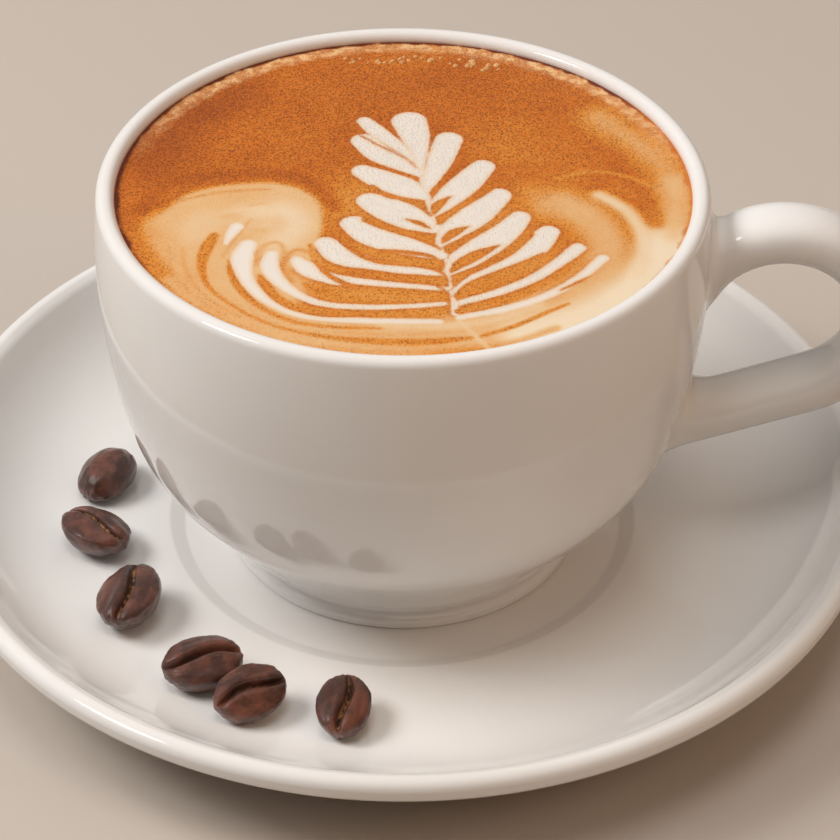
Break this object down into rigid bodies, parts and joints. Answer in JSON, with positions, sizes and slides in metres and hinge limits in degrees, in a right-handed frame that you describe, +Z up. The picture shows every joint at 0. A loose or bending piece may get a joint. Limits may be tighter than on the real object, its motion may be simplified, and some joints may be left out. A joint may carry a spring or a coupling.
{
  "type": "latte",
  "caption": "Latte with a leaf drawn in its foam, in a round glazed cup with a loop handle, standing on its saucer with roasted coffee beans.",
  "frame": {"origin": "centre of the saucer's foot ring, on the surface that the saucer stands on", "axes": "+Z up along the axis of the cup and saucer; +X towards the cup's handle; +Y to the left of a drinker who faces along +X"},
  "size_m": [0.1494, 0.1486, 0.0684],
  "materials": {
    "porcelain": "glossy warm white glaze",
    "latte": "satin milk foam over coffee",
    "roasted_bean": "dark roast, slightly oily"
  },
  "bodies": {
    "root": {"saucer": "porcelain", "cup": "porcelain", "latte": "latte", "bean_1": "roasted_bean", "bean_2": "roasted_bean", "bean_3": "roasted_bean", "bean_4": "roasted_bean", "bean_5": "roasted_bean", "bean_6": "roasted_bean"}
  },
  "joints": []
}
